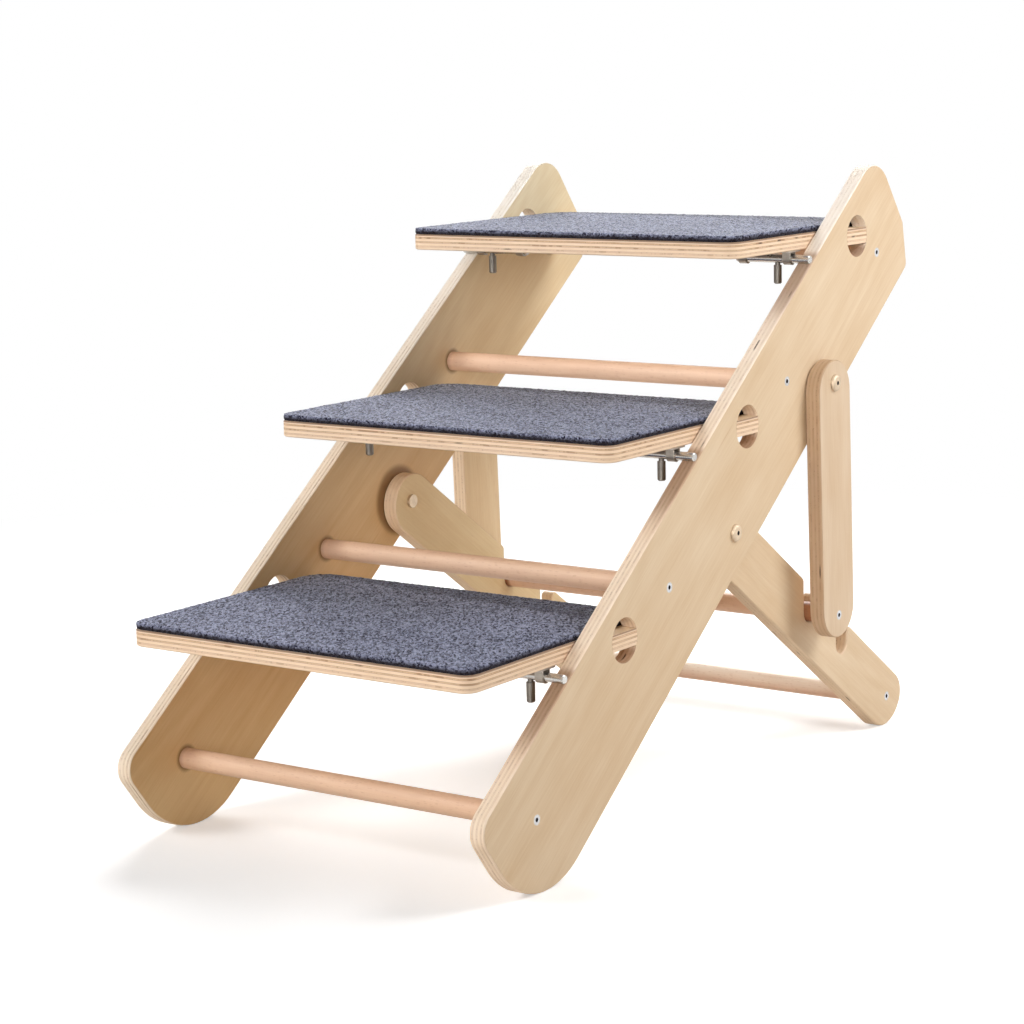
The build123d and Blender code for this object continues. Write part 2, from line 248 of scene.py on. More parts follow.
# Scales of the patterns, in cells to the metre
TONE_SCALE = (30.0, 3.5, 30.0)
FIGURE_SCALE = (9.0, 1.1, 9.0)
FIBRE_SCALE = (650.0, 22.0, 650.0)
PATCH_SCALE = (14.0, 14.0, 14.0)
FLECK_SCALE = (420.0, 75.0, 420.0)
MARK_SCALE = (150.0, 9.0, 150.0)
WOBBLE_SCALE = (28.0, 28.0, 28.0)
STREAK_SCALE = (45.0, 45.0, 45.0)
PORE_SCALE = (1500.0, 1500.0, 1500.0)
DASH_SCALE = (30.0, 60.0, 30.0)
SPECK_SCALE = (520.0, 520.0, 520.0)
VOID_SCALE = (70.0, 45.0, 70.0)
RAIL_TONE_SCALE = (6.0, 95.0, 95.0)
RAIL_FIBRE_SCALE = (35.0, 900.0, 900.0)
RAIL_FLECK_SCALE = (150.0, 700.0, 700.0)
TUFT_SCALE = 620.0
CLUMP_SCALE = 520.0
YARN_SCALE = 1500.0
WIDE_SCALE = 18.0
TARNISH_SCALE = 190.0
GRIT_SCALE = 2600.0

# How far the wavy figure of the veneer swings over the range of its noise, in radians
FIGURE_WAVES = 95.0

# Colours in the cut edges of the plywood, and of the carpets' dark backing and painted shade
DASH_COLOUR = (0.46, 0.27, 0.15)
GLUE_COLOUR = (0.40, 0.22, 0.12)
SPECK_COLOUR = (0.42, 0.27, 0.17)
VOID_COLOUR = (0.075, 0.04, 0.022)
UNDER_CARPET_COLOUR = (0.26, 0.13, 0.075)
BACKING_AND_SHADE_COLOUR = (0.014, 0.009, 0.009)

# The inner faces of the side boards: painted light at the toe, warm painted shade low down
# and a cooler tint higher up
TOE_LIGHT_HEIGHTS = (0.02, 0.13)
TOE_LIGHT_TINT = (1.22, 1.36, 1.50)
INNER_SHADE_HEIGHTS = (0.08, 0.55)
LOW_SHADE_TINT = (0.95, 0.79, 0.555)
HIGH_LIT_TINT = (1.0, 1.05, 1.0)

# The painted shade in a ring round a rail on an inner face: how much wider than the rail it
# is, in parts of the rail and in metres
RING_SHARE = 1.12
RING_WIDTH = 0.004
RING_SHADE_TINT = (0.36, 0.27, 0.20)

# The edges of the side boards: painted light makes them paler higher up, and on the right
# board a painted shadow lies in a band under each tread, which sets in and fades over these
# drops below it
PAINTED_LIGHT_HEIGHTS = (0.32, 0.52)
PAINTED_LIGHT_TINT = (1.0, 1.10, 1.24)
BAND_START = (0.0, 0.006)
BAND_FADE = (0.02, 0.085)
BAND_SHADOW_TINT = (0.62, 0.50, 0.42)

# Where the dark band under a carpet sets in, in parts of the tread's thickness
UNDER_CARPET_DEPTHS = (0.36, 0.46)

# The shade at the ends of a rail, and on its underside up to these heights from its axis
END_WIDTH = 0.006
END_TINT = (0.42, 0.27, 0.18)
UNDER_HEIGHTS = (-0.010, 0.008)
UNDER_TINT = (0.66, 0.46, 0.35)

# The pile of the carpets: painted shade almost black up to the first heights, painted sheen
# pale over the second ones, in parts of the pad's thickness, and painted shadow at the back
GAP_SHADE_HEIGHTS = (0.3, 0.95)
TIP_SHEEN_HEIGHTS = (0.85, 1.15)
TIP_SHEEN_TINT = (1.35, 1.35, 1.3)
BACK_SHADOW_TINT = (0.45, 0.45, 0.47)


def times(colour, tint):
    """A plain colour times a tint, channel by channel."""
    return tuple(c * k for c, k in zip(colour, tint))


class Value:
    """A socket that can be used in ordinary arithmetic."""

    def __init__(self, finish, socket):
        self.finish = finish
        self.socket = socket

    def maths(self, operation, *values):
        return self.finish.node(
            "ShaderNodeMath", {"operation": operation}, dict(enumerate(values))
        )

    def __add__(self, other):
        return self.maths("ADD", self, other)

    __radd__ = __add__

    def __sub__(self, other):
        return self.maths("SUBTRACT", self, other)

    def __rsub__(self, other):
        return self.maths("SUBTRACT", other, self)

    def __mul__(self, other):
        return self.maths("MULTIPLY", self, other)

    __rmul__ = __mul__

    def __truediv__(self, other):
        return self.maths("DIVIDE", self, other)

    def __pow__(self, other):
        return self.maths("POWER", self, other)

    def __abs__(self):
        return self.maths("ABSOLUTE", self)

    def __gt__(self, other):
        return self.maths("GREATER_THAN", self, other)

    def __lt__(self, other):
        return self.maths("LESS_THAN", self, other)

    def floor(self):
        return self.maths("FLOOR", self)

    def sine(self):
        return self.maths("SINE", self)

    def lesser(self, other):
        """The smaller of two values."""
        return self.maths("MINIMUM", self, other)

    def limited(self):
        """The value kept between 0 and 1."""
        return self.finish.node(
            "ShaderNodeMath", {"operation": "ADD", "use_clamp": True}, {0: self, 1: 0.0}
        )

    def ramp(self, low, high):
        """0 below low, 1 above high and smooth in between."""
        return self.finish.node(
            "ShaderNodeMapRange",
            {"interpolation_type": "SMOOTHSTEP"},
            {"Value": self, "From Min": low, "From Max": high},
        )


class Finish:
    """The nodes of a material or of the world."""

    def __init__(self, owner):
        owner.use_nodes = True
        self.owner = owner
        self.tree = owner.node_tree
        self.tree.nodes.clear()

    def node(self, kind, settings=None, sockets=None, result=0):
        """Add a node and return one of its outputs."""
        node = self.tree.nodes.new(kind)
        for name, value in (settings or {}).items():
            setattr(node, name, value)
        for key, value in (sockets or {}).items():
            socket = node.inputs[key]
            if isinstance(value, Value):
                self.tree.links.new(value.socket, socket)
            elif isinstance(value, (tuple, list)) and socket.type == "RGBA":
                socket.default_value = (*value, 1.0)
            else:
                socket.default_value = value
        if not node.outputs:
            return None
        return Value(self, node.outputs[result])

    def place(self):
        """Object coordinates, in metres."""
        return self.node("ShaderNodeTexCoord", result="Object")

    def attribute(self, name):
        """A number that the mesh keeps for each of its points."""
        return self.node("ShaderNodeAttribute", {"attribute_name": name}, result="Fac")

    def turned(self, vector, angles):
        """The vector turned by angles about X, Y and Z."""
        return self.node("ShaderNodeMapping", None, {"Vector": vector, "Rotation": angles})

    def vectors(self, operation, *values, result=0):
        """Vector maths."""
        return self.node(
            "ShaderNodeVectorMath", {"operation": operation}, dict(enumerate(values)), result
        )

    def scaled(self, vector, scale, shift=(0.0, 0.0, 0.0)):
        """The vector times a scale for each axis, plus a shift."""
        return self.vectors("MULTIPLY_ADD", vector, scale, shift)

    def length(self, vector):
        """The length of a vector."""
        return self.vectors("LENGTH", vector, result="Value")

    def parts(self, vector):
        """The X, Y and Z of a vector."""
        split = self.node("ShaderNodeSeparateXYZ", None, {0: vector}).socket.node
        return [Value(self, output) for output in split.outputs]

    def noise(self, vector, scale=1.0, detail=2.0, roughness=0.5):
        """Soft noise from 0 to 1."""
        return self.node(
            "ShaderNodeTexNoise",
            None,
            {"Vector": vector, "Scale": scale, "Detail": detail, "Roughness": roughness},
        )

    def cells(self, vector, scale=1.0, result="Distance"):
        """Cell noise: the distance to the nearest cell middle, or its colour."""
        return self.node(
            "ShaderNodeTexVoronoi", None, {"Vector": vector, "Scale": scale}, result
        )

    def flecks(self, vector, core, rim, bare_share, channel=0):
        """Spots, full within core and gone past rim, in all but a share of the cells."""
        chosen = self.parts(self.cells(vector, result="Color"))[channel] > bare_share
        return (1.0 - self.cells(vector).ramp(core, rim)) * chosen

    def blend(self, factor, first, second):
        """A colour between two colours."""
        return self.node(
            "ShaderNodeMix", {"data_type": "RGBA"}, {0: factor, 6: first, 7: second}, 2
        )

    def tinted(self, colour, tint, factor=1.0):
        """A colour multiplied by another."""
        return self.node(
            "ShaderNodeMix",
            {"data_type": "RGBA", "blend_type": "MULTIPLY"},
            {0: factor, 6: colour, 7: tint},
            2,
        )

    def bump(self, height, distance, strength=1.0):
        """A normal from a height in parts of the distance."""
        return self.node(
            "ShaderNodeBump",
            None,
            {"Height": height, "Distance": distance, "Strength": strength},
        )

    def seen_rays(self):
        """1 for rays from the camera, from mirrors and through glass."""
        path = self.node("ShaderNodeLightPath").socket.node
        camera, glossy, transmission = (
            Value(self, path.outputs[name])
            for name in ("Is Camera Ray", "Is Glossy Ray", "Is Transmission Ray")
        )
        return (camera + glossy + transmission).limited()

    def surface(self, **sockets):
        """Close the material with a shader whose sockets are given by name."""
        named = {key.replace("_", " "): value for key, value in sockets.items()}
        shader = self.node("ShaderNodeBsdfPrincipled", None, named)
        self.node("ShaderNodeOutputMaterial", None, {"Surface": shader})
        return self.owner


def face_veneer(finish, place, lengthwise, shift, face_colour):
    """The veneer on the faces of a board.

    It has broad tones, a wavy figure, fine fibres, short dark flecks and a few longer
    marks. Returned are its colour and, for the relief, the fibres and the flecks.
    """
    tone = finish.noise(finish.scaled(lengthwise, TONE_SCALE, shift), detail=3.0)
    swell = finish.noise(finish.scaled(lengthwise, FIGURE_SCALE, shift), detail=1.5)
    figure = (swell * FIGURE_WAVES).sine()
    fibre = finish.noise(
        finish.scaled(lengthwise, FIBRE_SCALE, shift), detail=3.0, roughness=0.6
    )
    patch = finish.noise(finish.scaled(place, PATCH_SCALE, shift), detail=2.0)
    shade = (
        0.42 + 1.05 * (tone - 0.5) + 0.10 * figure + 0.9 * (fibre - 0.5) + 0.6 * (patch - 0.5)
    ).limited()
    veneer = finish.blend(
        shade, times(face_colour, (1.08, 1.12, 1.18)), times(face_colour, (0.90, 0.83, 0.74))
    )
    fleck = finish.flecks(finish.scaled(lengthwise, FLECK_SCALE, shift), 0.12, 0.34, 0.72)
    veneer = finish.blend(fleck * 0.14, veneer, times(face_colour, (0.66, 0.52, 0.4)))
    mark = finish.flecks(finish.scaled(lengthwise, MARK_SCALE, shift), 0.05, 0.26, 0.93, 2)
    veneer = finish.blend(mark * 0.5, veneer, times(face_colour, (0.78, 0.64, 0.48)))
    return veneer, fibre, fleck


def inner_light_and_shade(finish, place, rounds):
    """The painted light and shade on a side board's inner face.

    Warm painted shade low down, painted light at the toe, and painted shade round each place
    and radius in rounds.
    """
    height = finish.parts(place)[2]
    inner_shading = finish.blend(height.ramp(*INNER_SHADE_HEIGHTS), LOW_SHADE_TINT, HIGH_LIT_TINT)
    inner_shading = finish.tinted(inner_shading, TOE_LIGHT_TINT, 1.0 - height.ramp(*TOE_LIGHT_HEIGHTS))
    for middle, radius in rounds:
        side_view = finish.scaled(place, (0.0, 1.0, 1.0))
        reach = finish.length(
            finish.vectors("SUBTRACT", side_view, (0.0, middle.y, middle.z))
        )
        ring = 1.0 - reach.ramp(radius, radius * RING_SHARE + RING_WIDTH)
        # Painted shade in a ring round each rail and round the leg's end
        inner_shading = finish.tinted(inner_shading, RING_SHADE_TINT, ring * 0.85)
    return inner_shading


def cut_edge(finish, place, lengthwise, depth, shift, clear):
    """The cut edge of a board: side-grain and end-grain plies by turns.

    Clear says how much the end-grain plies stand out. Between the plies are thin glue
    lines, and in them dashes, specks and small voids. Returned are the colour and, for the
    relief, the pores, the glue lines and the voids.
    """
    wood = bpy.context.scene.stairs_wood
    pale_plies = (wood.ply_count + 1) // 2
    pale_width = 1.0 / (pale_plies + wood.dark_share * (pale_plies - 1))
    period = pale_width * (1.0 + wood.dark_share)
    border = pale_width / period
    wobble = finish.noise(finish.scaled(place, WOBBLE_SCALE, shift), detail=1.0) - 0.5
    ply = (depth + 0.5 + wobble * 0.02) / period
    index = ply.floor()
    inside = ply - index
    crossed = inside > border
    own_shift = finish.node("ShaderNodeCombineXYZ", None, {0: index * 3.7, 1: index * 1.9})

    def in_ply(vector, scale):
        """The vector scaled, with a shift of its own in every ply."""
        return finish.vectors("ADD", finish.scaled(vector, scale, shift), own_shift)

    streak = finish.noise(in_ply(place, STREAK_SCALE), detail=4.0, roughness=0.65)
    pores = finish.noise(finish.scaled(place, PORE_SCALE), detail=2.0)
    light = finish.blend(
        (0.5 + 1.6 * (streak - 0.5)).limited(),
        tuple(wood.edge_light),
        times(wood.edge_light, (0.90, 0.84, 0.76)),
    )
    dark = finish.blend(
        (0.5 + 2.2 * (streak - 0.5) + 0.9 * (pores - 0.5)).limited(),
        tuple(wood.edge_dark),
        times(wood.edge_dark, (1.42, 1.55, 1.75)),
    )
    plies = finish.blend(crossed * clear, light, dark)
    dash_noise = finish.noise(in_ply(lengthwise, DASH_SCALE), detail=3.0, roughness=0.6)
    dash = dash_noise.ramp(0.54, 0.62)
    plies = finish.blend(dash * crossed * clear * 0.75, plies, DASH_COLOUR)
    seam = abs(inside - border).lesser(0.5 - abs(inside - 0.5))
    glue = 1.0 - seam.ramp(0.0, 0.055)
    plies = finish.blend(glue * 0.8 * clear, plies, GLUE_COLOUR)
    speck = finish.flecks(finish.scaled(place, SPECK_SCALE), 0.15, 0.45, 0.5) * crossed
    plies = finish.blend(speck * 0.45, plies, SPECK_COLOUR)
    void = finish.flecks(in_ply(lengthwise, VOID_SCALE), 0.2, 0.42, 0.94, 1) * crossed
    plies = finish.blend(void * 0.85, plies, VOID_COLOUR)
    return plies, pores, glue, void


def plywood(
    name, axis, low, high, grain_angle, shift, contrast, edge_tint, strong=0.0,
    face_tint=PLAIN, inner=None, rounds=(), shadows=(),
):
    """Plywood for one board.

    The plies lie between low and high on the axis, 0 for X and 2 for Z. The grain of the
    faces runs along the board: turned by grain_angle about X it lies along Y, and on a
    level board, whose angle is None, it runs along X. The plies stand out by contrast, more
    so toward the high side of the axis where strong is above 0. Edge_tint and face_tint
    multiply the colours of the cut edges and of the faces. Inner, -1 or 1, is the side of
    the axis on which a side board has its inner face, with its painted light and shade and
    its rounds. The cut edges get a painted shadow below the heights in shadows, and on a
    side board painted light higher up.
    """
    finish = Finish(bpy.data.materials.new(name))
    place = finish.place()
    height = finish.parts(place)[2]
    depth = (finish.parts(place)[axis] - (low + high) / 2) / (high - low)
    on_face = abs(depth) > FACE_DEPTH
    grain_turn = (0.0, 0.0, math.pi / 2) if grain_angle is None else (grain_angle, 0.0, 0.0)
    lengthwise = finish.turned(place, grain_turn)

    face_colour = times(bpy.context.scene.stairs_wood.face_colour, face_tint)
    veneer, fibre, fleck = face_veneer(finish, place, lengthwise, shift, face_colour)
    clear = contrast * (1.0 + 1.3 * strong * depth)
    if inner is not None:
        within = (depth * float(inner)) > INNER_DEPTH
        # Painted light and shade on the inner face of a side board
        veneer = finish.tinted(veneer, inner_light_and_shade(finish, place, rounds), within)
        # Higher up, painted light makes the plies of the side boards show less and the edges
        # paler
        painted_light = height.ramp(*PAINTED_LIGHT_HEIGHTS)
        clear = clear * (1.0 - 0.7 * painted_light)

    plies, pores, glue, void = cut_edge(finish, place, lengthwise, depth, shift, clear)
    plies = finish.tinted(plies, edge_tint)
    # Painted light makes the edges of the side boards paler higher up
    if inner is not None:
        plies = finish.tinted(plies, PAINTED_LIGHT_TINT, painted_light)
    # A painted shadow in a band under each tread
    for top in shadows:
        drop = top - height
        band = drop.ramp(*BAND_START) * (1.0 - drop.ramp(*BAND_FADE))
        plies = finish.tinted(plies, BAND_SHADOW_TINT, band)
    if axis == 2:
        # Just under the carpet the top of the cut edge is dark reddish brown
        plies = finish.blend(depth.ramp(*UNDER_CARPET_DEPTHS) * 0.85, plies, UNDER_CARPET_COLOUR)

    relief = on_face * (0.7 * fibre - 0.4 * fleck) + (1.0 - on_face) * (
        0.5 * pores - 0.8 * glue - 1.5 * void
    )
    return finish.surface(
        Base_Color=finish.blend(on_face, plies, veneer),
        Roughness=0.50 + 0.10 * (fibre - 0.5) + 0.16 * (1.0 - on_face),
        Specular_IOR_Level=0.35,
        Normal=finish.bump(relief, 0.00025, 0.55),
    )


def rail_wood(name, tint, shift, end_x, end_shade, axis_z, under_shade):
    """Close-grained wood of one round rail, with short flecks along the grain.

    The rail is shaded where it enters the boards, at end_x, and on its underside.
    """
    finish = Finish(bpy.data.materials.new(name))
    place = finish.place()
    colour = times(bpy.context.scene.stairs_wood.rail_colour, tint)
    tone = finish.noise(finish.scaled(place, RAIL_TONE_SCALE, shift), detail=3.0)
    fibre = finish.noise(finish.scaled(place, RAIL_FIBRE_SCALE), detail=3.0)
    shade = (0.45 + 1.3 * (tone - 0.5) + 0.8 * (fibre - 0.5)).limited()
    wood = finish.blend(
        shade, times(colour, (1.07, 1.1, 1.12)), times(colour, (0.9, 0.83, 0.78))
    )
    fleck = finish.flecks(finish.scaled(place, RAIL_FLECK_SCALE), 0.15, 0.4, 0.55)
    wood = finish.blend(fleck * 0.35, wood, times(colour, (0.7, 0.55, 0.45)))
    x, _, z = finish.parts(place)
    end = abs(x).ramp(end_x - END_WIDTH, end_x)
    wood = finish.tinted(wood, END_TINT, end * end_shade)
    lower = 1.0 - (z - axis_z).ramp(*UNDER_HEIGHTS)
    wood = finish.tinted(wood, UNDER_TINT, lower * under_shade)
    return finish.surface(
        Base_Color=wood,
        Roughness=0.47 + 0.12 * (fibre - 0.5),
        Specular_IOR_Level=0.4,
        Normal=finish.bump(fibre - 0.5 * fleck, 0.00018, 0.5),
    )


def carpet_pile():
    """Short dense pile of mixed dark and light yarn, with painted shade down in the gaps."""
    carpet = bpy.context.scene.stairs_carpet
    finish = Finish(bpy.data.materials.new("carpet_pile"))
    place = finish.place()
    # Every tuft has its own tone, and fine fibres break it up
    nap = finish.turned(place, (0.0, 0.0, -NAP_ANGLE))
    leaning = finish.scaled(nap, (1.0, carpet.lean, 1.0))
    tuft = finish.parts(finish.cells(leaning, TUFT_SCALE, "Color"))[0]
    clump = finish.noise(leaning, CLUMP_SCALE, detail=3.0, roughness=0.65)
    fibre = finish.noise(leaning, YARN_SCALE, detail=2.0)
    wide = finish.noise(place, WIDE_SCALE, detail=2.0)
    shade = (
        0.46 + 0.95 * (tuft - 0.5) + 1.6 * (clump - 0.5) + 1.2 * (fibre - 0.5)
        + 0.25 * (wide - 0.5)
    ).limited()
    yarn = finish.blend(shade, tuple(carpet.dark_colour), tuple(carpet.light_colour))
    # Painted sheen makes the tips pale, a painted shadow darkens the back of the pad, and
    # painted shade makes the yarn near the backing almost black
    height = finish.attribute("pile_height")
    yarn = finish.tinted(yarn, TIP_SHEEN_TINT, height.ramp(*TIP_SHEEN_HEIGHTS))
    yarn = finish.tinted(yarn, BACK_SHADOW_TINT, finish.attribute("pile_shade"))
    gap_shade = 1.0 - height.ramp(*GAP_SHADE_HEIGHTS)
    yarn = finish.blend(gap_shade * 0.92, yarn, BACKING_AND_SHADE_COLOUR)
    return finish.surface(
        Base_Color=yarn,
        Roughness=0.95,
        Specular_IOR_Level=0.1,
        Sheen_Weight=0.65,
        Sheen_Roughness=0.2,
        Sheen_Tint=(0.93, 0.94, 1.0),
        Normal=finish.bump(fibre + 0.5 * clump, 0.0005, 0.7),
    )


def plated_metal(name, colour, roughness, streaks, head_x=None, axis=None):
    """Plated metal with faint streaks, spots and dulled patches.

    Screws and bolts get dark painted shade in their sockets: all that lies deeper than
    head_x, or all that is close to an axis given by its Y and Z.
    """
    finish = Finish(bpy.data.materials.new(name))
    place = finish.place()
    patch = finish.noise(place, TARNISH_SCALE, detail=3.0)
    grit = finish.noise(place, GRIT_SCALE, detail=2.0)
    brushed = finish.noise(finish.scaled(place, streaks), detail=2.0)
    shade = (0.5 + 1.1 * (patch - 0.5) + 0.7 * (brushed - 0.5)).limited()
    metal = finish.blend(
        shade, tuple(min(1.0, c * 1.12) for c in colour), tuple(c * 0.78 for c in colour)
    )
    if head_x is not None or axis is not None:
        x, y, z = finish.parts(place)
        if axis is None:
            socket = (head_x - abs(x)) > SOCKET_DEPTH
        else:
            socket = ((y - axis.y) ** 2.0 + (z - axis.z) ** 2.0) < SOCKET_RADIUS ** 2
        socket_shade = tuple(bpy.context.scene.stairs_metal.socket_shade_colour)
        metal = finish.blend(socket, metal, socket_shade)
    return finish.surface(
        Base_Color=metal,
        Metallic=0.9,
        Roughness=roughness + 0.22 * (patch - 0.5) + 0.12 * (brushed - 0.5),
        Normal=finish.bump(0.6 * grit + brushed, 0.00008, 0.4),
    )


# Modelling helpers


def select_only(obj):
    """Make one object the selected and active one."""
    bpy.ops.object.select_all(action="DESELECT")
    obj.select_set(True)
    bpy.context.view_layer.objects.active = obj


def pick_edges(test):
    """In edit mode, select the edges whose two ends pass a test."""
    bpy.ops.mesh.select_mode(type="EDGE")
    bpy.ops.mesh.select_all(action="DESELECT")
    shape = bmesh.from_edit_mesh(bpy.context.edit_object.data)
    for edge in shape.edges:
        if test(edge.verts[0].co, edge.verts[1].co):
            edge.select_set(True)
    shape.select_flush_mode()
    bmesh.update_edit_mesh(bpy.context.edit_object.data)


def pick_faces(test):
    """In edit mode, select the faces whose normal and middle pass a test."""
    bpy.ops.mesh.select_mode(type="FACE")
    bpy.ops.mesh.select_all(action="DESELECT")
    shape = bmesh.from_edit_mesh(bpy.context.edit_object.data)
    for face in shape.faces:
        if test(face.normal, face.calc_center_median()):
            face.select_set(True)
    bmesh.update_edit_mesh(bpy.context.edit_object.data)


def add_modifier(obj, kind, **settings):
    """Add a modifier with its settings and apply it."""
    select_only(obj)
    modifier = obj.modifiers.new(kind.lower(), kind)
    for name, value in settings.items():
        setattr(modifier, name, value)
    bpy.ops.object.modifier_apply(modifier=modifier.name)


def settle(obj):
    """Put an object's place into its mesh."""
    select_only(obj)
    bpy.ops.object.transform_apply(location=True, rotation=True, scale=True)


def noise_texture(name, kind, size, **settings):
    """A procedural texture for a Displace modifier."""
    texture = bpy.data.textures.new(name, kind)
    texture.noise_scale = size
    for key, value in settings.items():
        setattr(texture, key, value)
    return texture


def keep_numbers(piece, name, numbers):
    """Keep a number for each point of a piece's mesh, for its material to read."""
    attribute = piece.data.attributes.new(name, "FLOAT", "POINT")
    attribute.data.foreach_set("value", numbers)


def dress(nodes, material):
    """Give CAD nodes a material, in every slot that they have."""
    for name in nodes:
        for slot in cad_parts[name].material_slots:
            slot.material = material


# Operators


class STAIRS_OT_boards(bpy.types.Operator):
    """Give every board its own plywood, with its plies and grain the way it was cut"""

    bl_idname = "stairs.boards"
    bl_label = "Plywood boards"

    def execute(self, context):
        rails = ("rail_bottom", "rail_middle", "rail_upper", "rail_top")
        rounds = [(middle_of(name), size_of(name).z / 2) for name in rails]
        rounds.append((middle_of("leg_pivot_bolts"), LEG_HALF_WIDTH))
        thickness = size_of("right_side_panel").x
        undersides = [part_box(f"carpet_{step}")[0].z - thickness for step in STEPS]
        # The edge and face tints are partly each board's own tone and partly painted light and
        # shade, which make the lit boards paler and the shaded ones darker
        # Node, grain, contrast, edge tint, strong, face tint and inner side of each board
        boards = (
            ("left_side_panel", SLOPE_ANGLE, 0.42, (1.02, 1.07, 1.12), 2.0, PLAIN, 1),
            ("right_side_panel", SLOPE_ANGLE, 0.35, (1.0, 1.01, 1.03), 0.0, PLAIN, -1),
            ("left_leg", LEG_ANGLE, 0.15, (0.86, 0.83, 0.77), 0.0, (1.04, 1.07, 0.97), None),
            ("right_leg", LEG_ANGLE, 0.2, (0.80, 0.77, 0.72), 0.0, PLAIN, None),
            ("left_strut", STRUT_ANGLE, 0.35, (1.0, 1.0, 0.98), 0.0, (1.09, 1.13, 1.10), None),
            ("right_strut", STRUT_ANGLE, 0.3, (0.60, 0.52, 0.44), 0.5, (0.95, 0.95, 0.99), None),
        )
        for number, board in enumerate(boards):
            node, angle, contrast, edge_tint, strong, face_tint, inner = board
            low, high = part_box(node)
            shift = (number * 5.3, number * 2.1, low.x * 40.0)
            shadows = undersides if node == "right_side_panel" else ()
            material = plywood(
                f"plywood_{node}", 0, low.x, high.x, -angle, shift, contrast, edge_tint,
                strong, face_tint, inner, rounds, shadows,
            )
            dress([node], material)
        for number, (step, underside) in enumerate(zip(STEPS, undersides)):
            node = f"tread_{step}"
            shift = (number * 3.3, 7.0, 1.0)
            material = plywood(
                f"plywood_{node}", 2, underside, underside + thickness, None, shift, 0.85,
                (0.98, 0.94, 0.91), 1.0,
            )
            dress([node], material)
        return {"FINISHED"}


class STAIRS_OT_rails(bpy.types.Operator):
    """Finish the round rails between the boards"""

    bl_idname = "stairs.rails"
    bl_label = "Round rails"

    def execute(self, context):
        # The paler tints of the upper rail and the foot rail are painted light, on rails that lie
        # in shade
        # Node, tint, the board it enters, and its shading at the ends and on the underside
        rails = (
            ("rail_bottom", PLAIN, "side_panel", 0.4, 0.0),
            ("rail_middle", PLAIN, "side_panel", 0.4, 0.1),
            ("rail_upper", (1.19, 1.20, 1.22), "side_panel", 0.4, 0.0),
            ("rail_top", (1.02, 1.04, 1.08), "side_panel", 0.4, 0.1),
            ("foot_rail", (1.24, 1.60, 1.95), "leg", 0.4, 1.0),
            ("strut_bar", PLAIN, "leg", 1.0, 0.3),
        )
        for number, (node, tint, board, end_shade, under_shade) in enumerate(rails):
            shift = (number * 4.1, number * 2.3, 0.0)
            inner_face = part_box(f"right_{board}")[0].x
            material = rail_wood(
                f"wood_{node}", tint, shift, inner_face, end_shade, middle_of(node).z,
                under_shade,
            )
            dress([node], material)
        return {"FINISHED"}


